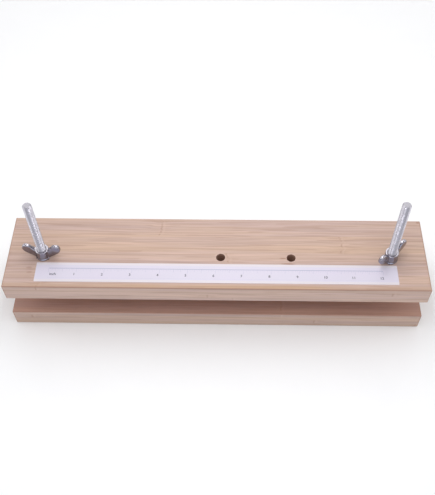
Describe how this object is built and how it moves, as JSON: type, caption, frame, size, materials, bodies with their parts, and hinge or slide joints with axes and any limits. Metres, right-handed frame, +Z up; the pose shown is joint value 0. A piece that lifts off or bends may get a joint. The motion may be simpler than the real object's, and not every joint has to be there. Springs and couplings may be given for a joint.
{
  "type": "bookbinding press",
  "caption": "Tabletop bookbinding press: bamboo jaw boards drawn together by carriage bolts and wing nuts, with a ruler strip along the front of the upper board.",
  "frame": {"origin": "centre of the lower board's underside, on the surface that the press stands on", "axes": "+X along the boards towards the ruler's high end, +Y from the ruler edge towards the back, +Z up along the bolts"},
  "size_m": [0.387, 0.079, 0.143],
  "materials": {
    "bamboo_lower": "laminated bamboo, sanded and left unvarnished",
    "bamboo_upper": "laminated bamboo, sanded and left unvarnished",
    "bolt_plating": "bright zinc plate on a rolled thread",
    "nut_plating": "bright zinc plate on a smooth cast nut",
    "ruler_print": "white film printed with an inch scale, satin"
  },
  "bodies": {
    "lower_jaw": {"lower_board": "bamboo_lower", "bolt_left": "bolt_plating", "bolt_right": "bolt_plating"},
    "upper_jaw": {"upper_board": "bamboo_upper", "ruler_strip": "ruler_print"},
    "left_nut": {"wing_nut_left": "nut_plating"},
    "right_nut": {"wing_nut_right": "nut_plating"}
  },
  "joints": [
    {"name": "upper_jaw_slide", "type": "slide", "parent": "lower_jaw", "child": "upper_jaw", "axis": [0, 0, 1], "range_m": [-0.02375, 0.0625]},
    {"name": "wing_nut_left_turn", "type": "hinge", "parent": "upper_jaw", "child": "left_nut", "pos_m": [-0.16, -0.005, 0.064], "axis": [0, 0, 1], "range_deg": [-6841, 18001]},
    {"name": "wing_nut_right_turn", "type": "hinge", "parent": "upper_jaw", "child": "right_nut", "pos_m": [0.16, -0.005, 0.064], "axis": [0, 0, 1], "range_deg": [-6841, 18001]}
  ],
  "couplings": [
    {"joint": "wing_nut_left_turn", "follows": "upper_jaw_slide", "rad_per_m": 5026.5},
    {"joint": "wing_nut_right_turn", "follows": "upper_jaw_slide", "rad_per_m": 5026.5}
  ]
}
